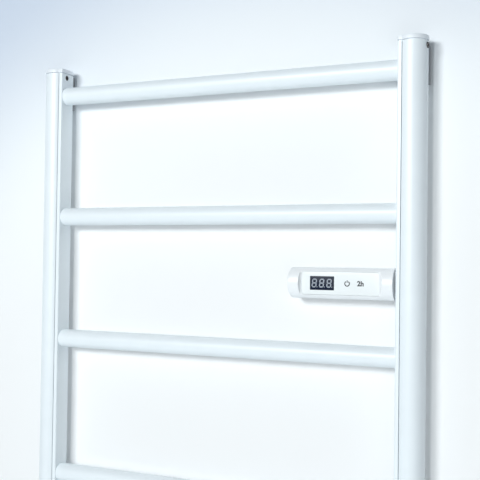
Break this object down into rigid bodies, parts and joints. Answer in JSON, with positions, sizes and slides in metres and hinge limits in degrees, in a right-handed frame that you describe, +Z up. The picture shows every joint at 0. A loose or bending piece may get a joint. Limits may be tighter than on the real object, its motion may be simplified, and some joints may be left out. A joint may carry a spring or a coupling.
{
  "type": "electric heated towel rail",
  "caption": "Wall-mounted ladder of round heated rungs between two round uprights with a flat inner side, with a small touch controller that shows temperature or time.",
  "frame": {"origin": "centre of the four wall screw holes, on the wall plane", "axes": "+Y into the wall, +X to the right seen from the room, +Z up"},
  "size_m": [0.4932, 0.036, 0.908],
  "materials": {
    "powder_coat": "satin white powder coat",
    "cap_plastic": "fine satin moulded plastic",
    "unit_plastic": "white moulded plastic",
    "fascia_film": "smooth white fascia",
    "lens_tint": "dark tinted window",
    "led_block": "matt black display body",
    "gasket_rubber": "grey moulded rubber",
    "zinc_steel": "zinc plated",
    "lock_steel": "black oxide",
    "block_alloy": "die cast",
    "cable_jacket": "white flexible sheath",
    "heater_sheath": "silicone sheath",
    "bush_nylon": "natural nylon",
    "board_green": "circuit board",
    "component_black": "moulded component",
    "relay_blue": "moulded relay case",
    "earth_brass": "plain brass",
    "earth_sheath": "green and yellow sheath"
  },
  "bodies": {
    "wall_brackets": {"upper_left_bracket": "zinc_steel", "upper_right_bracket": "zinc_steel", "lower_left_bracket": "zinc_steel", "lower_right_bracket": "zinc_steel"},
    "rail": {"cable_gland": "cap_plastic", "control_lead": "cable_jacket", "control_pcb": "board_green", "controller_fascia": "fascia_film", "controller_gasket": "gasket_rubber", "controller_housing": "unit_plastic", "controller_rear_cover": "unit_plastic", "controller_screws": "zinc_steel", "display_lens": "lens_tint", "display_module": "led_block", "earth_nuts": "earth_brass", "earth_stud": "zinc_steel", "earth_wire": "earth_sheath", "heating_cable": "heater_sheath", "lead_connector": "bush_nylon", "left_cover": "powder_coat", "left_upright": "powder_coat", "lower_left_cap": "cap_plastic", "lower_left_mounting_block": "block_alloy", "lower_right_cap": "cap_plastic", "lower_right_mounting_block": "block_alloy", "power_module": "component_black", "relay": "relay_blue", "right_cover": "powder_coat", "right_upright": "powder_coat", "rung_1": "powder_coat", "rung_2": "powder_coat", "rung_3": "powder_coat", "rung_4": "powder_coat", "rung_5": "powder_coat", "rung_6": "powder_coat", "rung_grommets": "bush_nylon", "rung_screws": "zinc_steel", "supply_cable": "cable_jacket", "terminal_block": "bush_nylon", "thermal_cutout": "component_black", "touch_pads": "zinc_steel", "upper_left_cap": "cap_plastic", "upper_left_mounting_block": "block_alloy", "upper_right_cap": "cap_plastic", "upper_right_mounting_block": "block_alloy"},
    "upper_left_screw": {"upper_left_lock_screw": "lock_steel"},
    "upper_right_screw": {"upper_right_lock_screw": "lock_steel"},
    "lower_left_screw": {"lower_left_lock_screw": "lock_steel"},
    "lower_right_screw": {"lower_right_lock_screw": "lock_steel"}
  },
  "joints": [
    {"name": "rail_lift_off", "type": "slide", "parent": "wall_brackets", "child": "rail", "axis": [0, -1, 0], "range_m": [0, 0.03]},
    {"name": "upper_left_screw_out", "type": "slide", "parent": "rail", "child": "upper_left_screw", "axis": [1, 0, 0], "range_m": [0, 0.005]},
    {"name": "upper_right_screw_out", "type": "slide", "parent": "rail", "child": "upper_right_screw", "axis": [1, 0, 0], "range_m": [0, 0.005]},
    {"name": "lower_left_screw_out", "type": "slide", "parent": "rail", "child": "lower_left_screw", "axis": [1, 0, 0], "range_m": [0, 0.005]},
    {"name": "lower_right_screw_out", "type": "slide", "parent": "rail", "child": "lower_right_screw", "axis": [1, 0, 0], "range_m": [0, 0.005]}
  ]
}
